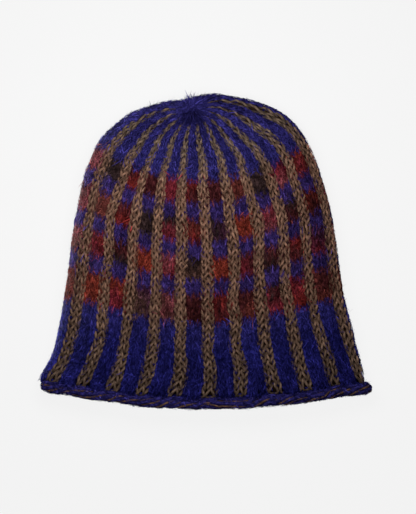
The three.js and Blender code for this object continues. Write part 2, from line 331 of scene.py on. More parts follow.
def layer_points(section, is_front):
    """One layer of a section, from fold to fold."""
    turn = np.linspace(0, math.pi, LAYER_POINTS)
    power = 2 / (FRONT_FULLNESS if is_front else BACK_FULLNESS)
    across = np.sign(np.cos(turn)) * np.abs(np.cos(turn)) ** power * (-1 if is_front else 1)
    middle_x = (section["left_x"] + section["right_x"]) / 2
    half_width = (section["right_x"] - section["left_x"]) / 2
    middle_y = section["front_y"] if is_front else section["back_y"]
    middle_z = section["front_z"] if is_front else section["back_z"]
    bow = np.clip(1 - across**2, 0, None) ** section["bow"]
    fold_y = section["left_y"] + (section["right_y"] - section["left_y"]) * (1 + across) / 2
    fold_middle_y = (section["left_y"] + section["right_y"]) / 2
    return np.stack(
        (
            middle_x + half_width * across,
            fold_y + (middle_y - fold_middle_y) * bow - MIDDLE_Y,
            section["side_z"] + (middle_z - section["side_z"]) * np.sin(turn) ** power,
        ),
        axis=1,
    )


def spread_along(points, shares):
    """Points at given shares of the length along a line of points."""
    lengths = np.r_[0, np.cumsum(np.linalg.norm(np.diff(points, axis=0), axis=1))]
    at = shares * lengths[-1]
    return np.stack([np.interp(at, lengths, points[:, axis]) for axis in range(3)], axis=1)


class Fabric:
    """The middle of the wall, in millimetres, with its directions, at any row and column."""

    per_row = 4
    per_column = 12

    def __init__(self):
        rows = np.arange(LAST_ROW * self.per_row + 1) / self.per_row
        columns = np.arange(REPEATS * self.per_column) / self.per_column
        values = {name: through(SECTIONS["row"], SECTIONS[name], rows) for name in SECTION_NAMES}
        self.points = np.zeros((len(rows), len(columns), 3))
        for i, row in enumerate(rows):
            drawn_out = RIM_FAN * max(0, 1 - row / FAN_ROWS) ** 2
            left_fold, right_fold = LEFT_FOLD_COLUMN + drawn_out, RIGHT_FOLD_COLUMN - drawn_out
            in_front = (columns >= left_fold) & (columns < right_fold)
            front_columns = right_fold - left_fold
            front_shares = (columns[in_front] - left_fold) / front_columns
            back_shares = ((columns[~in_front] - right_fold) % REPEATS) / (REPEATS - front_columns)
            section = {name: value[i] for name, value in values.items()}
            self.points[i, in_front] = spread_along(layer_points(section, True), front_shares)
            self.points[i, ~in_front] = spread_along(layer_points(section, False), back_shares)
        ahead, behind = np.roll(self.points, -1, axis=1), np.roll(self.points, 1, axis=1)
        self.per_column_step = (ahead - behind) * (self.per_column / 2)
        self.per_row_step = np.gradient(self.points, 1 / self.per_row, axis=0)

    def at(self, rows, columns):
        """Points, steps for one column, steps for one row and outward normals."""
        inside = np.clip(rows, 0, LAST_ROW)
        u = inside * self.per_row
        v = ((columns + ease(rows, columns)) % REPEATS) * self.per_column
        i = np.minimum(u.astype(int), self.points.shape[0] - 2)
        j = v.astype(int) % self.points.shape[1]
        j_next = (j + 1) % self.points.shape[1]
        s, t = (u - i)[..., None], (v - np.floor(v))[..., None]

        def mix(grid):
            low = grid[i, j] * (1 - t) + grid[i, j_next] * t
            high = grid[i + 1, j] * (1 - t) + grid[i + 1, j_next] * t
            return low * (1 - s) + high * s

        points, across, along = mix(self.points), mix(self.per_column_step), mix(self.per_row_step)
        points = points + along * (rows - inside)[..., None]
        out = unit(np.cross(across, along))
        points[..., 2] -= dent_depth(rows, columns)
        near = np.exp(-(((points[..., 0] - DIP_X) / DIP_REACH) ** 2))
        points[..., 1] -= DIP_DEPTH * near * np.clip((points[..., 1] - DIP_FROM_Y) / DIP_RISE, 0, 1)
        return points, across, along, out


def ease(rows, columns):
    """How far the pattern is drawn to the right, in columns."""
    table = np.array(EASE_ROWS, float)
    eases = np.stack([np.interp(columns % REPEATS, EASE_COLUMNS, line) for line in table[:, 1:]])
    place = np.interp(rows, table[:, 0], np.arange(len(table)))
    i = np.minimum(place.astype(int), len(table) - 2)
    low = np.take_along_axis(eases, i[None], axis=0)[0]
    high = np.take_along_axis(eases, i[None] + 1, axis=0)[0]
    return low + (place - i) * (high - low)


def unit(vectors):
    """The same directions, each one long."""
    return vectors / np.maximum(np.linalg.norm(vectors, axis=-1, keepdims=True), 1e-12)


def around(turn, first, second):
    """Directions turned from a first one towards a second."""
    return np.cos(turn)[..., None] * first + np.sin(turn)[..., None] * second


def steps_round(points):
    """The step from each point of a closed line to the next."""
    return np.roll(points, -1, axis=0) - points


def ring_at(row, per_repeat):
    """Points in the middle of the wall, all round the beanie at a row."""
    columns = np.arange(REPEATS * per_repeat) / per_repeat
    return FABRIC.at(np.full(len(columns), row), columns)[0]


def dent_depth(rows, columns):
    """How far the front layer sinks in, in mm."""
    depth = np.zeros(np.shape(rows))
    for row, column, row_reach, column_reach, deepest in DENTS:
        away = ((rows - row) / row_reach) ** 2
        depth += deepest * np.exp(-away - ((columns - column) / column_reach) ** 2)
    return depth


def relief(rows, columns):
    """Height of the stripes over the wall's middle, in mm."""
    pleated = np.clip((rows - PLEATS_FROM_ROW) / (LAST_ROW - 1 - PLEATS_FROM_ROW), 0, 1)
    height = RIB_RELIEF + (GATHER_RELIEF - RIB_RELIEF) * pleated**2 * (3 - 2 * pleated)
    near_gather = np.clip(LAST_ROW - rows, 0, 1)
    pucker = PUCKER * BUMPS(rows, columns) * np.clip((LAST_ROW - rows) / PUCKER_FADE, 0, 1)
    return height * near_gather * np.cos(TURN * (columns - MOHAIR_SHARE / 2)) + pucker


class Wander:
    """Slow random drift over the fabric, between -1 and 1."""

    def __init__(self, seed, rows_apart, columns_apart):
        self.steps = np.array((rows_apart, columns_apart))
        self.across = int(round(REPEATS / columns_apart))
        down = int(LAST_ROW / rows_apart) + 4
        self.values = np.random.default_rng(seed).uniform(-1, 1, (down, self.across))

    def __call__(self, rows, columns):
        last = self.values.shape[0] - 1
        u = np.clip(rows / self.steps[0] + 1, 0, last - 0.001)
        v = (columns / REPEATS * self.across) % self.across
        i, j = u.astype(int), v.astype(int) % self.across
        s, t = u - i, v - np.floor(v)
        s, t = s * s * (3 - 2 * s), t * t * (3 - 2 * t)
        j_next = (j + 1) % self.across
        low = self.values[i, j] * (1 - t) + self.values[i, j_next] * t
        high = self.values[i + 1, j] * (1 - t) + self.values[i + 1, j_next] * t
        return low * (1 - s) + high * s


FABRIC = Fabric()
# seed, rows apart, columns apart
STRIPE_DRIFT = Wander(11, 3.3, 1.0)
ROW_DRIFT = Wander(12, 5.0, 1.4)
SWELL = Wander(13, 2.6, 0.5)
BUMPS = Wander(14, 2.1, 0.5)

# ------------------------------------------------------------------ yarns as paths

YARN_STEPS = {"camel": 12, "mohair": 11}  # points in a stitch
FLOAT_STEPS = 3  # points in a float
YARN_SEEDS = {"camel": 1, "mohair": 2}
DEPTH_SHARES = {"camel": 1.0, "mohair": 0.6}  # of the loop depth
LUMPS = {"camel": 0.05, "mohair": 0.10}  # random part of the yarn's thickness
LUMP_STEPS = 3  # points to a lump
SWELLING = 0.07  # slow part of the yarn's thickness
PAINTED_SHADE_DEPTHS = (-1.0, 0.9)  # lifts, in mm, between which the painted shade runs, dark deep in the knit and light on top
# How light each yarn is painted at those lifts: painted shade deep down, painted highlight on top
PAINTED_SHADES_IN_DEPTH = {"camel": (0.42, 1.08), "mohair": (0.6, 1.1)}

UNEVEN_LEAN = 0.14
UNEVEN_HEIGHT = 0.06
UNEVEN_PLACE = 0.055
UNEVEN_LIFT = 0.20
FLOAT_SAG = 0.3  # in rows
FLOAT_ROUNDNESS = 0.6  # low: the float hangs level between short ends

STRIPE_WANDER = 0.1  # columns
ROW_WANDER = 0.16  # rows
WANDER_ENDS = 3  # rows before the gather where the wander has died out
WANDER_FADE = 6  # and the rows over which it does


class Path:
    """A closed run of yarn: points and outward directions in mm, radii and colours."""

    def __init__(self, points, out, radii, colours):
        self.points, self.out, self.radii, self.colours = points, out, radii, colours


def knitted_row(row, yarn):
    """Rows, columns and lifts along one yarn's whole way round a row."""
    yarns = bpy.context.scene.beanie_yarns
    mohair_stitches, camel_stitches = stitches_at(row)
    mohair_share = mohair_share_at(row)
    first = (MOHAIR_SHARE - mohair_share) / 2
    if yarn == "mohair":
        share, stitches = mohair_share, mohair_stitches
    else:
        first, share, stitches = first + mohair_share, 1.0 - mohair_share, camel_stitches
    random = np.random.default_rng(YARN_SEEDS[yarn] * 100 + row)
    turns = np.linspace(-math.pi, math.pi, YARN_STEPS[yarn], endpoint=False)
    way = np.linspace(0, 1, FLOAT_STEPS, endpoint=False)
    stitch_width = share / stitches
    gap = 1.0 - share
    depth = yarns.loop_depth / MM * DEPTH_SHARES[yarn]
    float_depth = yarns.float_depth / MM
    rows, columns, lifts = [], [], []
    for repeat in range(REPEATS):
        for stitch in range(stitches):
            start = repeat + first + stitch * stitch_width
            uneven = random.normal(0, 1, 4) * yarns.unevenness
            lean = yarns.loop_lean * (1 + UNEVEN_LEAN * uneven[0])
            tall = yarns.loop_height * (1 + UNEVEN_HEIGHT * uneven[1])
            across = (turns + math.pi) / TURN + lean * np.sin(2 * turns) + UNEVEN_PLACE * uneven[2]
            columns.append(start + stitch_width * across)
            rows.append(row + 0.5 + tall * np.cos(turns))
            lifts.append(-depth * np.cos(2 * turns) + UNEVEN_LIFT * uneven[3])
        if gap > 0:
            sag = FLOAT_SAG * np.sin(math.pi * way)
            columns.append(repeat + first + share + gap * way)
            rows.append(np.full(FLOAT_STEPS, row + 0.5 - yarns.loop_height) + sag)
            lifts.append(-depth - float_depth * np.sin(math.pi * way) ** FLOAT_ROUNDNESS)
    return np.concatenate(rows), np.concatenate(columns), np.concatenate(lifts)


def place(rows, columns, lifts, radii):
    """Points in mm for places on the fabric, drifting a little, and never under the surface."""
    yarns = bpy.context.scene.beanie_yarns
    loose = np.clip((LAST_ROW - WANDER_ENDS - rows) / WANDER_FADE, 0, 1) * yarns.unevenness
    moved_columns = columns + STRIPE_WANDER * loose * STRIPE_DRIFT(rows, columns)
    moved_rows = rows + ROW_WANDER * loose * ROW_DRIFT(rows, columns)
    points, _, _, out = FABRIC.at(moved_rows, moved_columns)
    points = points + out * (lifts + relief(rows, columns))[:, None]
    points[:, 2] = np.maximum(points[:, 2], radii)
    return points, out


def knit(rows, yarn, radius, colour_of):
    """A path for each row of one yarn. colour_of gives colours from rows and columns."""
    paths = []
    for row in rows:
        if yarn == "camel" and stitches_at(row)[1] == 0:
            continue
        at_rows, at_columns, lifts = knitted_row(row, yarn)
        random = np.random.default_rng(YARN_SEEDS[yarn] * 1000 + row)
        lumps = random.normal(0, 1, len(at_rows) // LUMP_STEPS + 2)
        lumps = np.interp(np.arange(len(at_rows)) / LUMP_STEPS, np.arange(len(lumps)), lumps)
        swollen = 1 + SWELLING * SWELL(at_rows * 1.7, at_columns) + LUMPS[yarn] * lumps
        radii = radius / MM * from_table(row, YARN_NARROWING) * swollen
        points, out = place(at_rows, at_columns, lifts, radii)
        # Painted shade: the yarn is darkened where it dips between and behind stitches, and
        # lightened as a painted highlight where it stands up.
        shaded = np.interp(lifts, PAINTED_SHADE_DEPTHS, PAINTED_SHADES_IN_DEPTH[yarn])
        # Painted side light: the yarn on the folds is lightened.
        colours = colour_of(row, at_rows, at_columns) * (shaded * (1 + painted_sidelight(out)))[:, None]
        paths.append(Path(points, out, radii, colours))
    return paths


# ------------------------------------------------------------------ yarn colours


GREYED_CAMEL = ((0, 0.8), (8, 0.4), (12, 0), (27, 0), (32, 1))  # row, share of greyed camel
DEEP_INDIGO = ((5, 1), (RIM_ROWS, 0))  # row, share of deep indigo
SIDELIGHT_FROM = 0.62  # how far sideways a wall faces where the folds' painted side light begins
SIDELIGHT_RUN = 0.33
TONE_COUNT = 500  # tones round a row, about three to a stitch
TONE_LIMITS = (0.4, 1.8)
STITCH_TONES = {  # seed, spread
    "camel": (500, 0.1),
    "indigo": (600, 0.16),
    "patches": (700, 0.16),
    "blocks": (800, 0.24),
}
CAMEL_SWELL = 0.12
INDIGO_SWELL = 0.22
INDIGO_DRIFT = 0.12
BLOCK_SWELL = 0.34
PATCH_SWELL = 0.55  # how far a block's two shades run into one another, slowly
PATCH_TONES = 2.5  # and from stitch to stitch
BLOCK_START = -0.2  # where a block begins, in columns from its stripe


def tint(base, amounts):
    """A colour made lighter or darker by each of the amounts."""
    return np.clip(np.asarray(base)[None, :] * amounts[:, None], 0, 1)


def painted_sidelight(out):
    """How much lighter the knit is painted towards its folds, as painted side light."""
    colours = bpy.context.scene.beanie_colours
    amounts = np.where(out[:, 0] < 0, colours.left_sidelight, colours.right_sidelight)
    return amounts * np.clip((np.abs(out[:, 0]) - SIDELIGHT_FROM) / SIDELIGHT_RUN, 0, 1)


def stitch_tones(row, columns, kind):
    """Random tones along a row that change every third of a stitch."""
    seed, spread = STITCH_TONES[kind]
    tones = np.random.default_rng(seed + row).normal(1, spread, TONE_COUNT)
    tones = np.interp(columns * TONE_COUNT / REPEATS, np.arange(TONE_COUNT), tones)
    return np.clip(tones, *TONE_LIMITS)


def camel_colours(row, rows, columns):
    """Camel wool, greyer at the rim and on the crown."""
    colours = bpy.context.scene.beanie_colours
    greyed = float(from_table(row, GREYED_CAMEL))
    camel = (1 - greyed) * np.array(colours.camel) + greyed * np.array(colours.greyed_camel)
    slow = 1 + CAMEL_SWELL * SWELL(rows + 3, columns * 1.1)
    return tint(camel, stitch_tones(row, columns, "camel") * slow)


def indigo_colours(row, rows, columns):
    """Plain mohair: deeper at the rim and more violet between the blocks."""
    colours = bpy.context.scene.beanie_colours
    deep = float(from_table(row, DEEP_INDIGO))
    indigo = deep * np.array(colours.deep_indigo) + (1 - deep) * np.array(colours.indigo)
    if RIM_ROWS <= row < CROWN_FROM_ROW:
        indigo = colours.violet
    slow = 1 + INDIGO_SWELL * SWELL(rows, columns) + INDIGO_DRIFT * ROW_DRIFT(rows * 2, columns)
    return tint(indigo, slow * stitch_tones(row, columns, "indigo"))


def block_colours(row, rows, columns):
    """The variegated mohair: each block from the chart, shading from its top to its bottom."""
    colours = bpy.context.scene.beanie_colours
    band, from_top = band_at(row)
    blocks = CHART[band].split()
    result = np.zeros((len(rows), 3))
    places = np.floor(columns - BLOCK_START).astype(int) % REPEATS
    patches = PATCH_SWELL * SWELL(rows * 1.3, columns * 1.7)
    mix = patches + PATCH_TONES * (stitch_tones(row, columns, "patches") - 1)
    for block_place in range(REPEATS):
        here = places == block_place
        letters = blocks[block_place % len(blocks)]
        top, bottom = (np.array(getattr(colours, SHADES[letter])) for letter in letters)
        share = np.clip(from_top + mix[here], 0, 1)[:, None]
        result[here] = top * (1 - share) + bottom * share
    slow = 1 + BLOCK_SWELL * SWELL(rows * 2.1 + 5, columns * 1.9)
    amounts = slow * stitch_tones(row, columns, "blocks")
    return np.clip(result * amounts[:, None], 0, 1)


# ------------------------------------------------------------------ meshes

SHEET_FLOOR = 0.3  # mm over the surface, the least height of the shaded backing
FIBRE_FLOOR = 0.35  # and of a loose fibre
RIBBON_PLACES = np.array((0.0, 0.5, 1.0))  # the places along a loose fibre where it may bend
RIBBON_WIDTHS = np.array((0.8, 1.0, 0.15))  # and its width there
RIBBON_POINTS = 2 * len(RIBBON_PLACES)
FIBRE_WIDTHS = (0.7, 1.3)


def new_object(name, vertices, faces_flat, corners, smooth=True):
    """An object from vertices in mm and flat face corners, each face with that many corners."""
    mesh = bpy.data.meshes.new(name)
    count = len(faces_flat) // corners
    mesh.vertices.add(len(vertices))
    mesh.vertices.foreach_set("co", (vertices * MM).astype(np.float32).ravel())
    mesh.loops.add(len(faces_flat))
    mesh.loops.foreach_set("vertex_index", faces_flat.astype(np.int32))
    mesh.polygons.add(count)
    mesh.polygons.foreach_set("loop_start", np.arange(0, len(faces_flat), corners, dtype=np.int32))
    mesh.polygons.foreach_set("use_smooth", np.full(count, smooth))
    mesh.update(calc_edges=True)
    mesh.validate()
    made = bpy.data.objects.new(name, mesh)
    bpy.context.scene.collection.objects.link(made)
    return made


def set_uv(mesh, name, uv):
    layer = mesh.uv_layers.new(name=name)
    layer.data.foreach_set("uv", uv.astype(np.float32).ravel())


def set_colours(mesh, colours):
    layer = mesh.color_attributes.new("YarnColour", "FLOAT_COLOR", "POINT")
    rgba = np.concatenate((colours, np.ones((len(colours), 1))), axis=1)
    layer.data.foreach_set("color", rgba.astype(np.float32).ravel())


def quad_map(corners):
    """A map from each face's four corners, given as pairs of arrays."""
    return np.stack([np.stack(corner, axis=2) for corner in corners], axis=2).reshape(-1, 2)


def tube_object(name, paths, sides):
    """Round yarn along closed paths, with its length and girth as one map and a bake map."""
    turn = TURN * np.arange(sides) / sides
    vertices, faces, colours, yarn_uv = [], [], [], []
    start = 0
    for path in paths:
        count = len(path.points)
        heading = unit(np.roll(path.points, -1, axis=0) - np.roll(path.points, 1, axis=0))
        side = unit(np.cross(heading, path.out))
        up = np.cross(side, heading)
        ring = around(turn, side[:, None], up[:, None])
        vertices.append((path.points[:, None] + path.radii[:, None, None] * ring).reshape(-1, 3))
        colours.append(np.repeat(path.colours, sides, axis=0))
        i = np.arange(count)[:, None]
        k = np.arange(sides)[None, :]
        here, there = i * sides + start, (i + 1) % count * sides + start
        k_next = (k + 1) % sides
        quads = np.stack((here + k, here + k_next, there + k_next, there + k), axis=2)
        faces.append(quads.reshape(-1, 4))
        start += count * sides
        step = np.linalg.norm(steps_round(path.points), axis=1)
        begin = np.r_[0, np.cumsum(step)[:-1]][:, None] + 0 * k
        end = begin + step[:, None]
        low, high = k / sides + 0 * i, (k + 1) / sides + 0 * i
        yarn_uv.append(quad_map(((begin, low), (begin, high), (end, high), (end, low))))
    faces = np.concatenate(faces)
    made = new_object(name, np.concatenate(vertices), faces.ravel(), 4)
    set_uv(made.data, "Yarn", np.concatenate(yarn_uv))
    set_uv(made.data, "OFBake", strip_map(len(faces) // sides, sides))
    set_colours(made.data, np.concatenate(colours))
    return made


def strip_map(segments, sides):
    """A bake map: the yarn's segments side by side in long strips that don't touch."""
    cell_shape, margin = 3.2, 0.06
    per_strip = max(1, int(math.sqrt(segments * cell_shape)))
    strips = math.ceil(segments / per_strip)
    index = np.arange(segments)[:, None]
    k = np.arange(sides)[None, :]
    left = (index % per_strip) / per_strip + 0 * k
    right = left + 1 / per_strip
    base = index // per_strip
    low = (base + margin + (1 - 2 * margin) * k / sides) / strips
    high = (base + margin + (1 - 2 * margin) * (k + 1) / sides) / strips
    return quad_map(((left, low), (left, high), (right, high), (right, low)))


def fibre_object(name, roots, directions, bends, lengths, widths, colours):
    """Loose fibres: thin bent ribbons of two runs that taper to a point."""
    count = len(roots)
    side = unit(np.cross(directions, bends + 1e-4)) * (widths / 2)[:, None]
    straight = directions[:, None] * RIBBON_PLACES[:, None]
    bent = bends[:, None] * (RIBBON_PLACES**2)[:, None]
    middle = roots[:, None] + lengths[:, None, None] * (straight + bent)
    middle[..., 2] = np.maximum(middle[..., 2], FIBRE_FLOOR)
    reach = side[:, None] * RIBBON_WIDTHS[:, None]
    vertices = np.stack((middle - reach, middle + reach), axis=2).reshape(-1, 3)
    run = np.arange(2)[None, :] * 2
    base = RIBBON_POINTS * np.arange(count)[:, None]
    faces = np.stack((base + run, base + run + 1, base + run + 3, base + run + 2), axis=2)
    made = new_object(name, vertices, faces.ravel(), 4)
    set_colours(made.data, np.repeat(colours, RIBBON_POINTS, axis=0))
    set_uv(made.data, "OFBake", ribbon_map(count))
    return made


def ribbon_map(count):
    """A bake map: each ribbon in a small cell of its own."""
    side_margin, end_margin = 0.15, 0.1
    per_strip = math.ceil(math.sqrt(count / 2))
    strips = math.ceil(count / per_strip)
    index = np.arange(count)[:, None]
    run = np.arange(2)[None, :]
    left = (index % per_strip + side_margin) / per_strip + 0 * run
    right = (index % per_strip + 1 - side_margin) / per_strip + 0 * run
    tall = 1 - 2 * end_margin
    low = (index // per_strip + end_margin + tall * run / 2) / strips
    high = (index // per_strip + end_margin + tall * (run + 1) / 2) / strips
    return quad_map(((left, low), (right, low), (right, high), (left, high)))


def fibre_tones(halo, count, random):
    """How light fibres are, each a little different."""
    return halo.lightness * np.exp(halo.contrast * random.normal(0, 1, count))


def fibre_widths(halo, count, random):
    """Widths of fibres in mm: most single, some in locks."""
    in_locks = random.uniform(0, 1, count) < halo.locks
    widths = np.where(in_locks, halo.lock_width, halo.fibre_width) / MM
    return widths * random.uniform(*FIBRE_WIDTHS, count)


# ------------------------------------------------------------------ materials


class Shader:
    """A material's node tree, built node by node."""

    def __init__(self, name):
        self.material = bpy.data.materials.new(name)
        self.material.use_nodes = True
        self.tree = self.material.node_tree
        self.surface = self.tree.nodes["Principled BSDF"]

    def node(self, kind, inputs=None, **values):
        made = self.tree.nodes.new(kind)
        for key, value in values.items():
            setattr(made, key, value)
        for key, value in (inputs or {}).items():
            if isinstance(value, bpy.types.NodeSocket):
                self.tree.links.new(value, made.inputs[key])
            else:
                made.inputs[key].default_value = value
        return made

    def feed(self, socket, value):
        if isinstance(value, bpy.types.NodeSocket):
            self.tree.links.new(value, self.surface.inputs[socket])
        else:
            self.surface.inputs[socket].default_value = value

    def noise(self, vector, scale, detail=3.0, roughness=0.6):
        inputs = {"Vector": vector, "Scale": scale, "Detail": detail, "Roughness": roughness}
        return self.node("ShaderNodeTexNoise", inputs).outputs["Fac"]

    def remap(self, value, old, new):
        """A value from one range, low and high, brought to another."""
        inputs = {"Value": value, "From Min": old[0], "From Max": old[1]}
        inputs.update({"To Min": new[0], "To Max": new[1]})
        return self.node("ShaderNodeMapRange", inputs).outputs["Result"]

    def scaled(self, colour_socket, amount):
        """A colour made lighter or darker."""
        made = self.node("ShaderNodeVectorMath", {0: colour_socket}, operation="SCALE")
        self.tree.links.new(amount, made.inputs["Scale"])
        return made.outputs["Vector"]

    def bump(self, height, distance, strength, below=None):
        inputs = {"Height": height, "Distance": distance, "Strength": strength}
        if below is not None:
            inputs["Normal"] = below
        return self.node("ShaderNodeBump", inputs).outputs["Normal"]

    def yarn_colour(self):
        return self.node("ShaderNodeAttribute", attribute_name="YarnColour").outputs["Color"]

    def place(self):
        return self.node("ShaderNodeTexCoord").outputs["Object"]

    def yarn_place(self, along, around):
        """The yarn's own co-ordinates, scaled along its length (from mm) and round its girth."""
        source = self.node("ShaderNodeUVMap", uv_map="Yarn").outputs["UV"]
        inputs = {"Vector": source, "Scale": (along, around, 1.0)}
        return self.node("ShaderNodeMapping", inputs).outputs["Vector"]


def camel_material():
    """Smooth two-ply wool: twisted plies, fine fibres along them, a dull gloss."""
    shader = Shader("camel_wool_yarn")
    base = shader.yarn_colour()
    plies = shader.node(
        "ShaderNodeTexWave",
        {"Vector": shader.yarn_place(0.1, 1.26), "Scale": 1.0, "Distortion": 0.8, "Detail": 1.0},
        wave_type="BANDS", bands_direction="DIAGONAL",
    ).outputs["Fac"]
    fibres = shader.noise(shader.yarn_place(0.9, 9.0), 1.0, 4.0, 0.7)
    patches = shader.noise(shader.yarn_place(0.12, 1.0), 1.0, 2.0)
    # Painted shade in the grooves between the plies, and painted highlight on their tops.
    shade = shader.remap(plies, (0.0, 1.0), (0.6, 1.2))
    flecks = shader.remap(fibres, (0.35, 0.65), (0.5, 1.46))
    drift = shader.remap(patches, (0.35, 0.65), (0.78, 1.22))
    flecked = shader.scaled(shader.scaled(base, shade), flecks)
    shader.feed("Base Color", shader.scaled(flecked, drift))
    shader.feed("Roughness", 0.72)
    shader.feed("Specular IOR Level", 0.06)
    normal = shader.bump(plies, 0.0004, 0.7)
    shader.feed("Normal", shader.bump(fibres, 0.0001, 0.5, normal))
    return shader.material


def mohair_material(name):
    """Brushed mohair: a loose core with no clear plies, matted fibres and a soft bloom."""
    shader = Shader(name)
    base = shader.yarn_colour()
    strands = shader.noise(shader.yarn_place(0.7, 6.0), 1.0, 4.0, 0.75)
    patches = shader.noise(shader.place(), 420.0, 3.0, 0.6)
    light = shader.remap(strands, (0.35, 0.65), (0.25, 1.7))
    drift = shader.remap(patches, (0.36, 0.64), (0.35, 1.75))
    shader.feed("Base Color", shader.scaled(shader.scaled(base, light), drift))
    shader.feed("Roughness", 0.9)
    shader.feed("Specular IOR Level", 0.0)
    normal = shader.bump(patches, 0.0009, 0.8)
    shader.feed("Normal", shader.bump(strands, 0.0003, 0.8, normal))
    return shader.material


def blue_material():
    return mohair_material("blue_mohair_yarn")


def variegated_material():
    return mohair_material("variegated_mohair_yarn")


def fibre_material():
    """Single mohair fibres, unevenly light."""
    shader = Shader("mohair_fibre")
    base = shader.yarn_colour()
    light = shader.remap(shader.noise(shader.place(), 300.0, 2.0), (0.3, 0.7), (0.7, 1.3))
    shader.feed("Base Color", shader.scaled(base, light))
    shader.feed("Roughness", 0.6)
    shader.feed("Specular IOR Level", 0.0)
    return shader.material


def backing_material():
    """The back of the knit, seen only as the dark between stitches: painted shade."""
    shader = Shader("felted_inside")
    base = shader.yarn_colour()
    mottling = shader.noise(shader.place(), 900.0, 4.0, 0.7)
    light = shader.remap(mottling, (0.3, 0.7), (0.6, 1.4))
    shader.feed("Base Color", shader.scaled(base, light))
    shader.feed("Roughness", 0.95)
    shader.feed("Specular IOR Level", 0.0)
    shader.feed("Normal", shader.bump(mottling, 0.0004, 0.8))
    return shader.material


MATERIALS = {}


def material_once(make):
    """A material, made the first time that it is asked for."""
    if make not in MATERIALS:
        MATERIALS[make] = make()
    return MATERIALS[make]


def finish_piece(piece, material, node):
    """Give a piece its material and its place in the frame."""
    piece.data.materials.append(material)
    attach(piece, "root")
    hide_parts(node)


# ------------------------------------------------------------------ the knit

CAMEL_SPLIT_ROW = 19  # the camel stripes are made in a lower and an upper piece
CAMEL_SIDES = 5
MOHAIR_SIDES = 6
BACKING_ROWS = 40
BACKING_COLUMNS = 8  # to a repeat
BACKING_ENDS = (0.1, LAST_ROW - 0.2)  # first and last row
BACKING_LIFTS = (-0.35, -0.75)  # mm from the wall's middle, outer and inner face
BACKING_CAMEL = (0.03, 0.5)  # outside this part of a repeat the backing lies behind camel
# Painted shade: the backing takes its yarn's colour, darkened by these shares to stand for the shade
# between the stitches
BACKING_SHADE = {"camel": 0.15, "indigo": 0.4}


class BEANIE_OT_camel_stripes(bpy.types.Operator):
    """Knit the camel stripes, with their floats behind the mohair"""

    bl_idname = "beanie.camel_stripes"
    bl_label = "Camel stripes"

    def execute(self, context):
        radius = context.scene.beanie_yarns.camel_radius
        pieces = (
            ("camel_stripes_lower", range(0, CAMEL_SPLIT_ROW)),
            ("camel_stripes_upper", range(CAMEL_SPLIT_ROW, LAST_ROW)),
        )
        for name, rows in pieces:
            paths = knit(rows, "camel", radius, camel_colours)
            piece = tube_object(name, paths, CAMEL_SIDES)
            finish_piece(piece, material_once(camel_material), "knitted_shell")
        return {"FINISHED"}


class BEANIE_OT_mohair_stripes(bpy.types.Operator):
    """Knit the mohair stripes: the plain rim section, the blocks and the crown"""

    bl_idname = "beanie.mohair_stripes"
    bl_label = "Mohair stripes"

    def execute(self, context):
        radius = context.scene.beanie_yarns.mohair_radius
        blocks, checks = rows_by_pattern()
        crown = range(CROWN_FROM_ROW, LAST_ROW)
        plain = material_once(blue_material)
        variegated = material_once(variegated_material)
        pieces = (
            ("blue_rim_section", range(0, RIM_ROWS), indigo_colours, plain, "blue_mohair"),
            ("blue_check_rows", checks, indigo_colours, plain, "blue_mohair"),
            ("blue_crown", crown, indigo_colours, plain, "blue_mohair"),
            ("variegated_blocks", blocks, block_colours, variegated, "variegated_mohair"),
        )
        for name, rows, colours, material, slot in pieces:
            paths = knit(rows, "mohair", radius, colours)
            piece = tube_object(name, paths, MOHAIR_SIDES)
            finish_piece(piece, material, "knitted_shell")
        return {"FINISHED"}


class BEANIE_OT_shaded_backing(bpy.types.Operator):
    """Lay a dark backing between the stitches and the floats, as painted shade in the gaps"""

    bl_idname = "beanie.felted_inside"
    bl_label = "Shadowed inside"

    def execute(self, context):
        rows = np.linspace(*BACKING_ENDS, BACKING_ROWS)
        columns = np.arange(REPEATS * BACKING_COLUMNS) / BACKING_COLUMNS
        at_rows, at_columns = np.meshgrid(rows, columns, indexing="ij")
        points, _, _, out = FABRIC.at(at_rows, at_columns)
        height = relief(at_rows, at_columns)
        sheets = [points + out * (lift + height)[..., None] for lift in BACKING_LIFTS]
        for sheet in sheets:
            sheet[..., 2] = np.maximum(sheet[..., 2], SHEET_FLOOR)
        vertices = np.concatenate(sheets).reshape(-1, 3)
        faces = self.faces(len(rows), len(columns))
        piece = new_object("felted_inside", vertices, faces.ravel(), 4)
        # Painted shade: the backing is its yarns' colour, made dark.
        colours = context.scene.beanie_colours
        in_repeat = columns % 1
        behind_camel = (in_repeat > BACKING_CAMEL[1]) | (in_repeat < BACKING_CAMEL[0])
        camel = BACKING_SHADE["camel"] * np.array(colours.camel)
        indigo = BACKING_SHADE["indigo"] * np.array(colours.indigo)
        dark = np.where(behind_camel[:, None], camel, indigo)
        set_colours(piece.data, np.tile(dark, (2 * len(rows), 1)))
        finish_piece(piece, material_once(backing_material), "knitted_shell")
        return {"FINISHED"}

    def faces(self, row_count, count):
        """The faces of a closed double sheet: both sheets, the rim and the eye of the crown."""
        i = np.arange(row_count - 1)[:, None] * count
        j = np.arange(count)
        j_next = (j + 1) % count
        outer = np.stack((i + j, i + j_next, i + count + j_next, i + count + j), axis=2)
        outer = outer.reshape(-1, 4)
        total = row_count * count
        last = total - count
        inner = outer[:, ::-1] + total
        rim = np.stack((j_next, j, j + total, j_next + total), axis=1)
        eye = np.stack((j, j_next, j_next + total, j + total), axis=1) + last
        return np.concatenate((outer, inner, rim, eye))


# ------------------------------------------------------------------ the rim's cord (mm, radians)

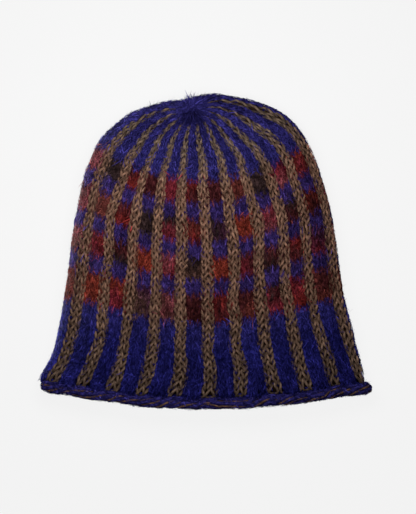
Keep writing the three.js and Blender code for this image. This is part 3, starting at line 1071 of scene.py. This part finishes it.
DASH_TURN = 0.45  # where camel shows on the cord, turned down from the wall's outside
DASH_SHARPNESS = 4
CAMEL_RISE = 0.1  # of camel over the mohair where it shows
CAMEL_DEPTH = 1.9  # and how much lower it lies where it doesn't
CAMEL_DULLNESS = 0.8  # of the camel in the cord beside the camel in the knit
CORD_COLUMN_STEPS = 80  # points to a column before they are spread out evenly
CORD_STEP = 1.5  # between the points that are kept
CORD_SIDES = {"mohair": 8, "camel": 6}
CORD_DRIFTS = {  # amount, drift, its row, rows more for each strand, stretch round the rim
    "slip": (0.5, SWELL, 0, 1.3, 1.3),  # of the strands round the cord
    "twist": (1.5, ROW_DRIFT, 7.5, 0, 1),
    "sink": (1.3, SWELL, 2, 6.0, 1.7),  # of a camel strand, out of sight
    "strand_bumps": (0.45, SWELL, 0, 4.1, 2.2),
    "cord_bumps": (0.4, SWELL, 22, 0, 1),
    "swelling": (0.08, SWELL, 0, 3.0, 2),  # share of a strand's thickness
    "tones": (0.3, SWELL, 0, 2.0, 3),
    "wave": (0.8, ROW_DRIFT, 2.5, 0, 1.8),  # of the cord's middle, down
    "ripple": (0.4, SWELL, 1.5, 0, 1.5),
}

FUZZ_SEED = 33
FUZZ_TURNS = (-0.6 * math.pi, 0.8 * math.pi)
FUZZ_SLANT = (0.5, 0.6)  # mean and spread, from the way that the cord runs
FUZZ_LIFT = 0.08
FUZZ_ROOTS = (EDGE_RADIUS - 0.4, EDGE_RADIUS + 0.3)
FUZZ_CURL = 0.2
FUZZ_DROOP = 0.3
FUZZ_LENGTHS = (0.4, 0.9)  # of the mean fibre


def cord_drift(name, columns, strand=0):
    """One of the cord's slow drifts, at places round the rim."""
    amount, drift, row, rows_more, stretch = CORD_DRIFTS[name]
    return amount * drift(np.full(len(columns), row + rows_more * strand), columns * stretch)


class BEANIE_OT_edge_cord(bpy.types.Operator):
    """Twist the rim's cord from mohair and camel strands"""

    bl_idname = "beanie.edge_cord"
    bl_label = "Edge cord"

    def execute(self, context):
        edge = context.scene.beanie_edge
        colours = context.scene.beanie_colours
        bases = {"mohair": colours.indigo, "camel": CAMEL_DULLNESS * np.array(colours.camel)}
        paths = {"mohair": [], "camel": []}
        centre, out, down, share, columns = self.centre_line()
        for strand in range(edge.strands):
            for yarn in paths:
                offset = strand + (0.5 if yarn == "camel" else 0.0)
                turn = TURN * (offset / edge.strands - edge.turns * share)
                turn = turn + cord_drift("slip", columns, strand) + cord_drift("twist", columns)
                reach, radius = self.reach(edge, yarn, turn)
                if yarn == "camel":
                    reach = reach - np.maximum(cord_drift("sink", columns, strand), 0)
                reach = reach + cord_drift("strand_bumps", columns, strand)
                reach = reach + cord_drift("cord_bumps", columns)
                points = centre + reach[:, None] * around(turn, out, down)
                points[:, 2] = np.maximum(points[:, 2], radius)
                radii = radius * (1 + cord_drift("swelling", columns, strand))
                shade = tint(bases[yarn], 1 + cord_drift("tones", columns, strand))
                paths[yarn].append(Path(points, unit(points - centre), radii, shade))
        cord = tube_object("corded_edge_mohair", paths["mohair"], CORD_SIDES["mohair"])
        finish_piece(cord, material_once(blue_material), "corded_edge")
        dashes = tube_object("corded_edge_dashes", paths["camel"], CORD_SIDES["camel"])
        finish_piece(dashes, material_once(camel_material), "corded_edge")
        self.add_fibres(context, centre, out, down)
        return {"FINISHED"}

    def add_fibres(self, context, centre, out, down):
        """Brush loose fibres out of the cord."""
        halo, count = context.scene.beanie_halo, context.scene.beanie_edge.fibres
        indigo = context.scene.beanie_colours.indigo
        random = np.random.default_rng(FUZZ_SEED)
        picked = random.integers(0, len(centre), count)
        facing = around(random.uniform(*FUZZ_TURNS, count), out[picked], down[picked])
        heading = unit(steps_round(centre))[picked]
        sideways = unit(np.cross(heading, facing))
        lying = around(random.normal(*FUZZ_SLANT, count), heading, sideways)
        lift = np.abs(random.normal(0, FUZZ_LIFT, count))
        directions = unit(lying + lift[:, None] * facing)
        roots = centre[picked] + random.uniform(*FUZZ_ROOTS, count)[:, None] * facing
        bends = FUZZ_CURL * random.normal(0, 1, (count, 3)) - FUZZ_DROOP * facing
        lengths = halo.fibre_length / MM * random.uniform(*FUZZ_LENGTHS, count)
        shade = tint(indigo, fibre_tones(halo, count, random))
        widths = fibre_widths(halo, count, random)
        fuzz = fibre_object("corded_edge_fuzz", roots, directions, bends, lengths, widths, shade)
        finish_piece(fuzz, material_once(fibre_material), "corded_edge")

    def centre_line(self):
        """The cord's middle, its outward and downward directions, evenly round the rim."""
        columns = np.linspace(0, REPEATS, REPEATS * CORD_COLUMN_STEPS + 1)
        points, across, along, out = FABRIC.at(np.zeros(len(columns)), columns)
        sideways = unit(across)
        down = -unit(along - (along * sideways).sum(axis=1, keepdims=True) * sideways)
        centre = points + down * (EDGE_RADIUS * math.cos(math.pi / EDGE_FLATS) + EDGE_SEAT)
        centre[:, 0] += TUCK_SHARE * np.maximum(TUCK_FROM_X - centre[:, 0], 0)
        steps = np.linalg.norm(np.diff(centre, axis=0), axis=1)
        lengths = np.r_[0, np.cumsum(steps)]
        at = np.linspace(0, lengths[-1], int(lengths[-1] / CORD_STEP), endpoint=False)
        centre, out, down = (
            np.stack([np.interp(at, lengths, values[:, axis]) for axis in range(3)], axis=1)
            for values in (centre, out, down)
        )
        where = np.interp(at, lengths, columns)
        for name in ("wave", "ripple"):
            centre += cord_drift(name, where)[:, None] * down
        return centre, out, down, at / lengths[-1], where

    def reach(self, edge, yarn, turn):
        """How far a strand lies from the cord's middle, and its radius, in mm."""
        if yarn == "mohair":
            radius = edge.mohair_radius / MM
            return np.full(len(turn), EDGE_RADIUS - radius), radius
        radius = edge.camel_radius / MM
        away = (turn - DASH_TURN + math.pi) % TURN - math.pi
        shown = np.exp(-((away / edge.dash_reach) ** DASH_SHARPNESS))
        return EDGE_RADIUS + CAMEL_RISE - radius - CAMEL_DEPTH * (1 - shown), radius


# ------------------------------------------------------------------ the crown's knot (mm)

LOOP_SEED = 31
LOOP_TURN = 0.12  # how unevenly the loops stand round the gather
LOOP_REACH = (3.6, 5.2)
LOOP_HEIGHT = (1.2, 2.8)
LOOP_POINTS = 16
LOOP_START = 0.8  # from the gather's middle
LOOP_WIDTH = 1.0
LOOP_FOOT = 0.6
LOOP_DROOP = 0.12
LOOP_THICKNESS = (0.85, 1.1)
LOOP_TONES = (0.7, 1.1)
LOOP_SIDES = 8

TUFT_SEED = 32
TUFT_REACH = (0.5, 6.5)
TUFT_TOP = 3.6
TUFT_ROUNDING = 0.06
TUFT_DEPTHS = (-1.5, 0.6)
TUFT_LEAST = 0.3  # share of the fibres kept on the knot's far side from the rim
TUFT_LIFTS = (-0.1, 0.5)
TUFT_SPREAD = 0.35
TUFT_CURL = 0.22
TUFT_LENGTHS = (3.0, 7.0)
TUFT_TRAIL = 0.7  # how much longer fibres are towards the rim
TUFT_LIGHT = (1.1, 0.6)  # painted light: lightness, and what it gains towards the far side from the rim


class BEANIE_OT_crown_knot(bpy.types.Operator):
    """Draw up the crown's last stitches into a small fuzzy knot"""

    bl_idname = "beanie.crown_knot"
    bl_label = "Crown knot"

    def execute(self, context):
        knot, colours = context.scene.beanie_knot, context.scene.beanie_colours
        centre, axis, side, other = self.eye()
        random = np.random.default_rng(LOOP_SEED)
        turn = np.linspace(0, TURN, LOOP_POINTS, endpoint=False)
        paths = []
        for loop in range(knot.loops):
            heading = TURN * loop / knot.loops + random.normal(0, LOOP_TURN)
            away = around(heading, side, other)
            across = np.cross(axis, away)
            reach, height = random.uniform(*LOOP_REACH), random.uniform(*LOOP_HEIGHT)
            out = LOOP_START + reach * (1 - np.cos(turn)) / 2
            rise = LOOP_FOOT + height * np.sin(turn / 2) ** 2 - LOOP_DROOP * out**2
            sideways = LOOP_WIDTH * np.sin(turn)
            points = centre + out[:, None] * away + sideways[:, None] * across + rise[:, None] * axis
            radii = np.full(len(turn), knot.radius / MM * random.uniform(*LOOP_THICKNESS))
            shade = tint(colours.indigo, np.full(len(turn), random.uniform(*LOOP_TONES)))
            paths.append(Path(points, np.tile(axis, (len(turn), 1)), radii, shade))
        loops = tube_object("crown_knot_loops", paths, LOOP_SIDES)
        finish_piece(loops, material_once(blue_material), "crown_knot")
        self.add_fibres(context, centre, axis, side, other)
        return {"FINISHED"}

    def eye(self):
        """The middle of the gather, the way it faces and two directions across it."""
        points = ring_at(float(LAST_ROW), 4)
        centre = points.mean(axis=0)
        arms = points - centre
        axis = unit(np.cross(arms, np.roll(arms, -1, axis=0)).sum(axis=0))
        side = unit(np.cross(axis, np.array((0.0, 1.0, 0.0))))
        return centre, axis, side, np.cross(axis, side)

    def add_fibres(self, context, centre, axis, side, other):
        """Brush up the knot's tuft, fuller towards the rim."""
        halo, colours = context.scene.beanie_halo, context.scene.beanie_colours
        count = context.scene.beanie_knot.fibres
        random = np.random.default_rng(TUFT_SEED)
        away = around(random.uniform(0, TURN, 3 * count), side, other)
        fullness = np.clip(-away[:, 1], 0, 1) ** 2
        kept = random.uniform(0, 1, 3 * count) < TUFT_LEAST + (1 - TUFT_LEAST) * fullness
        away = away[kept][:count]
        count = len(away)
        start = random.uniform(*TUFT_REACH, count)
        rise = TUFT_TOP - TUFT_ROUNDING * start**2 + random.uniform(*TUFT_DEPTHS, count)
        roots = centre + start[:, None] * away + rise[:, None] * axis
        spread = random.normal(0, TUFT_SPREAD, (count, 3))
        directions = unit(away + spread + random.uniform(*TUFT_LIFTS, count)[:, None] * axis)
        bends = random.normal(0, TUFT_CURL, (count, 3)) - TUFT_CURL * axis
        trail = 1 + TUFT_TRAIL * np.clip(-away[:, 1], 0, 1)
        lengths = random.uniform(*TUFT_LENGTHS, count) * trail
        # Painted light: the tuft is lighter on its side away from the rim.
        light = TUFT_LIGHT[0] + TUFT_LIGHT[1] * away[:, 1]
        shade = tint(colours.indigo, light * fibre_tones(halo, count, random))
        widths = fibre_widths(halo, count, random)
        tuft = fibre_object("crown_knot_tuft", roots, directions, bends, lengths, widths, shade)
        finish_piece(tuft, material_once(fibre_material), "crown_knot")


# ------------------------------------------------------------------ the brushed fibres (mm)

STRAYS = {"rim": 0.3, "checks": 0.8, "blocks": 1.3, "crown": 0.6}  # times the strays setting
HALO_SEEDS = {"rim": 41, "checks": 42, "blocks": 43, "crown": 44}
FIBRE_ROWS = (-0.4, 1.4)  # where fibres root, in rows from their own row's foot
IN_STRIPE = (-0.05, 1.05)  # and in shares of their stripe's width
STRAYED = (-0.45, 1.45)  # or of the strayed ones
LEG_FOOT = 0.25  # how far a stitch's legs are from its middle at its foot, in half stitches
LEG_OPENING = 0.5  # and how much further a row higher
LEG_WIDTH = 0.35
PAINTED_LEG_LIGHT = (0.62, 0.7)  # painted shade between the legs, and the painted highlight that a leg adds
LEG_RISE = 0.3
FIBRE_SPREAD = 0.45  # of their headings, in radians
FIBRE_LEAN = 0.3
FIBRE_LIFT = (0.03, 0.15)  # least, and spread
LIFTED_FROM = 0.3  # the lift from which a fibre is painted lighter, as a painted highlight
LIFTED_LIGHT = 3
FIBRE_CURL = 0.2
FIBRE_DROOP = 0.12
FIBRE_EVENNESS = 6.0  # the higher it is, the more alike the fibres' lengths
LONGEST_FIBRE = 1.5  # times the mean
FIBRE_HEIGHTS = (1.8, 2.4)  # over the stripes' mean height
ROOTED_BACK = 0.35  # share of a fibre that lies behind its place
FLAT_FROM = 1.5  # the steeper the wall at a fold, the closer its fibres lie
AT_FOLDS = 0.3  # share of their length and lift that they keep there
FOLD_DROP = 0.4
BRIGHTEST = 1.5  # limit of a fibre's random tone
SIDELIGHT_WRAP = 0.15  # the fold's painted side light starts where the wall faces this far to the left
SIDELIGHT_GREY = 0.05
YARN_SIDELIGHT = 0.5  # share of the yarn's painted side light that its fibres have


class BEANIE_OT_mohair_halo(bpy.types.Operator):
    """Brush loose fibres out of the mohair"""

    bl_idname = "beanie.mohair_halo"
    bl_label = "Mohair halo"

    def execute(self, context):
        halo = context.scene.beanie_halo
        blocks, checks = rows_by_pattern()
        crown = range(CROWN_FROM_ROW, LAST_ROW)
        groups = (
            ("rim", range(RIM_ROWS), indigo_colours, halo.rim_fibres, "blue_mohair"),
            ("checks", checks, indigo_colours, halo.check_fibres, "blue_mohair"),
            ("blocks", blocks, block_colours, halo.block_fibres, "variegated_mohair"),
            ("crown", crown, indigo_colours, halo.crown_fibres, "blue_mohair"),
        )
        for name, rows, colour_of, count, slot in groups:
            random = np.random.default_rng(HALO_SEEDS[name])
            strays = STRAYS[name] * halo.strays
            fibres = self.brush(halo, np.array(rows), colour_of, count, strays, random)
            piece = fibre_object("mohair_halo_" + name, *fibres)
            finish_piece(piece, material_once(fibre_material), "knitted_shell")
        return {"FINISHED"}

    def brush(self, halo, row_choice, colour_of, count, strays, random):
        """Roots, directions, bends, lengths, widths and colours of loose fibres on some rows."""
        girths = np.array([self.girth(row) for row in row_choice])
        picked = random.choice(row_choice, count, p=girths / girths.sum())
        rows = picked + random.uniform(*FIBRE_ROWS, count)
        share = np.array([mohair_share_at(row) for row in range(LAST_ROW)])[picked]
        stitches = np.array([stitches_at(row)[0] for row in range(LAST_ROW)])[picked]
        strayed = random.uniform(0, 1, count) < strays
        far, near = random.uniform(*STRAYED, count), random.uniform(*IN_STRIPE, count)
        in_stripe = np.where(strayed, far, near)
        columns = random.integers(0, REPEATS, count) + share * in_stripe
        columns += (MOHAIR_SHARE - share) / 2 * (share < 1)
        points, across, along, out = FABRIC.at(rows, columns)

        from_middle = 2 * ((in_stripe * stitches) % 1) - 1
        opened = LEG_FOOT + LEG_OPENING * (rows - picked)
        on_leg = np.exp(-(((np.abs(from_middle) - opened) / LEG_WIDTH) ** 2))
        heading = random.normal(0.0, FIBRE_SPREAD, count) + FIBRE_LEAN * np.sign(from_middle)
        heading += random.integers(0, 2, count) * math.pi
        lying = around(heading, unit(along), unit(across))

        flat = np.clip(FLAT_FROM * np.abs(out[:, 2]), 0, 1)
        closeness = AT_FOLDS + (1 - AT_FOLDS) * flat
        lift = np.abs(random.normal(0.0, FIBRE_LIFT[1], count)) + FIBRE_LIFT[0]
        lift = lift * closeness
        directions = unit(lying + lift[:, None] * out)
        bends = FIBRE_CURL * random.normal(0, 1, (count, 3)) - FIBRE_DROOP * out
        lengths = random.gamma(FIBRE_EVENNESS, 1 / FIBRE_EVENNESS, count)
        lengths = halo.fibre_length / MM * np.minimum(lengths, LONGEST_FIBRE) * closeness
        height = relief(rows, columns) + random.uniform(*FIBRE_HEIGHTS, count)
        height += LEG_RISE * on_leg - FOLD_DROP * (1 - flat)
        roots = points + out * height[:, None] - directions * (ROOTED_BACK * lengths)[:, None]
        roots[:, 2] = np.maximum(roots[:, 2], SHEET_FLOOR)

        colours = np.zeros((count, 3))
        for row in row_choice:
            here = picked == row
            colours[here] = colour_of(row, rows[here], columns[here])
        # Painted shade between a stitch's legs and painted highlight on them.
        light = halo.lightness * (PAINTED_LEG_LIGHT[0] + PAINTED_LEG_LIGHT[1] * on_leg)
        # Painted highlight on fibres that lift off the knit.
        light *= 1 + LIFTED_LIGHT * np.clip(lift - LIFTED_FROM, 0, None)
        tones = np.minimum(random.normal(0, 1, count), BRIGHTEST)
        colours *= (light * np.exp(halo.contrast * tones))[:, None]
        # Painted side light: fibres on the left fold are lightened and greyed, with a share of the
        # yarn's painted side light.
        sidelight = halo.fold_sidelight * np.clip(-out[:, 0] - SIDELIGHT_WRAP, 0, 1)
        sidelight = (sidelight + YARN_SIDELIGHT * painted_sidelight(out))[:, None]
        colours = np.clip(colours * (1 + sidelight) + SIDELIGHT_GREY * sidelight, 0, 1)
        return roots, directions, bends, lengths, fibre_widths(halo, count, random), colours

    def girth(self, row):
        """How far it is round the beanie at a row, in mm."""
        return np.linalg.norm(steps_round(ring_at(row + 0.5, 2)), axis=1).sum()


# ------------------------------------------------------------------ the stage (m)

FLOOR_HALF = 3.0  # half its side
SOFT_BOX_SIZE = (0.20, 0.16)
SOFT_BOX_PLACE = (-0.03, 0.07, 0.26)
VIEW_SHAPE = (416, 514)  # width to height
EYE_X = 0.0022
EYE_Y = -0.0045
WIDEST_HEIGHT = 0.012  # of the beanie's widest line, where the view's width holds


class BEANIE_OT_stage(bpy.types.Operator):
    """Set up the floor, the soft light and the camera overhead"""

    bl_idname = "beanie.stage"
    bl_label = "Stage"

    def execute(self, context):
        stage = context.scene.beanie_stage
        self.add_floor(stage)
        self.add_lights(stage)
        self.add_camera(stage)
        return {"FINISHED"}

    def add_floor(self, stage):
        signs = np.array(((-1, -1, 0), (1, -1, 0), (1, 1, 0), (-1, 1, 0)))
        floor = new_object("floor", FLOOR_HALF * signs / MM, np.arange(4), 4, smooth=False)
        shader = Shader("floor_paper")
        shader.feed("Base Color", (*stage.floor, 1.0))
        shader.feed("Roughness", 0.9)
        shader.feed("Specular IOR Level", 0.0)
        shader.feed("Emission Color", (1.0, 1.0, 1.0, 1.0))
        shader.feed("Emission Strength", stage.floor_glow)
        floor.data.materials.append(shader.material)

    def add_lights(self, stage):
        scene = bpy.context.scene
        world = bpy.data.worlds.new("room")
        world.use_nodes = True
        background = world.node_tree.nodes["Background"]
        background.inputs["Color"].default_value = (1.0, 1.0, 1.0, 1.0)
        background.inputs["Strength"].default_value = stage.sky
        scene.world = world
        scene.view_settings.view_transform = "Standard"
        box = bpy.data.lights.new("soft_box", "AREA")
        box.shape = "RECTANGLE"
        box.size, box.size_y = SOFT_BOX_SIZE
        box.energy = stage.key_power
        lamp = bpy.data.objects.new("soft_box", box)
        lamp.location = SOFT_BOX_PLACE
        lamp.visible_camera = False
        scene.collection.objects.link(lamp)

    def add_camera(self, stage):
        scene = bpy.context.scene
        camera = bpy.data.cameras.new("camera")
        camera.sensor_width = 36.0
        view_height = stage.view_width * VIEW_SHAPE[1] / VIEW_SHAPE[0]
        camera.lens = camera.sensor_width * stage.camera_height / view_height
        camera.clip_end = 20.0
        eye = bpy.data.objects.new("camera", camera)
        eye.location = (EYE_X, EYE_Y, stage.camera_height + WIDEST_HEIGHT)
        scene.collection.objects.link(eye)
        scene.camera = eye


# ------------------------------------------------------------------ panel and registration


class VIEW3D_PT_beanie(bpy.types.Panel):
    """The beanie's settings and the steps that make it"""

    bl_label = "Beanie"
    bl_space_type = "VIEW_3D"
    bl_region_type = "UI"
    bl_category = "Beanie"

    def draw(self, context):
        for name in SETTINGS:
            box = self.layout.box()
            settings = getattr(context.scene, name)
            for key in settings.bl_rna.properties.keys():
                if key not in ("rna_type", "name"):
                    box.prop(settings, key)
        for step in STEPS:
            self.layout.operator(step.bl_idname)


SETTINGS = {
    "beanie_yarns": BeanieYarns,
    "beanie_colours": BeanieColours,
    "beanie_edge": BeanieEdge,
    "beanie_knot": BeanieKnot,
    "beanie_halo": BeanieHalo,
    "beanie_stage": BeanieStage,
}
STEPS = (
    BEANIE_OT_camel_stripes,
    BEANIE_OT_mohair_stripes,
    BEANIE_OT_shaded_backing,
    BEANIE_OT_edge_cord,
    BEANIE_OT_crown_knot,
    BEANIE_OT_mohair_halo,
    BEANIE_OT_stage,
)


def register():
    for kind in (*SETTINGS.values(), *STEPS, VIEW3D_PT_beanie):
        bpy.utils.register_class(kind)
    for name, kind in SETTINGS.items():
        setattr(bpy.types.Scene, name, PointerProperty(type=kind))


def unregister():
    for name in SETTINGS:
        delattr(bpy.types.Scene, name)
    for kind in reversed((*SETTINGS.values(), *STEPS, VIEW3D_PT_beanie)):
        bpy.utils.unregister_class(kind)


def main():
    register()
    for step in STEPS:
        group, name = step.bl_idname.split(".")
        getattr(getattr(bpy.ops, group), name)()


if __name__ == "__main__":
    main()
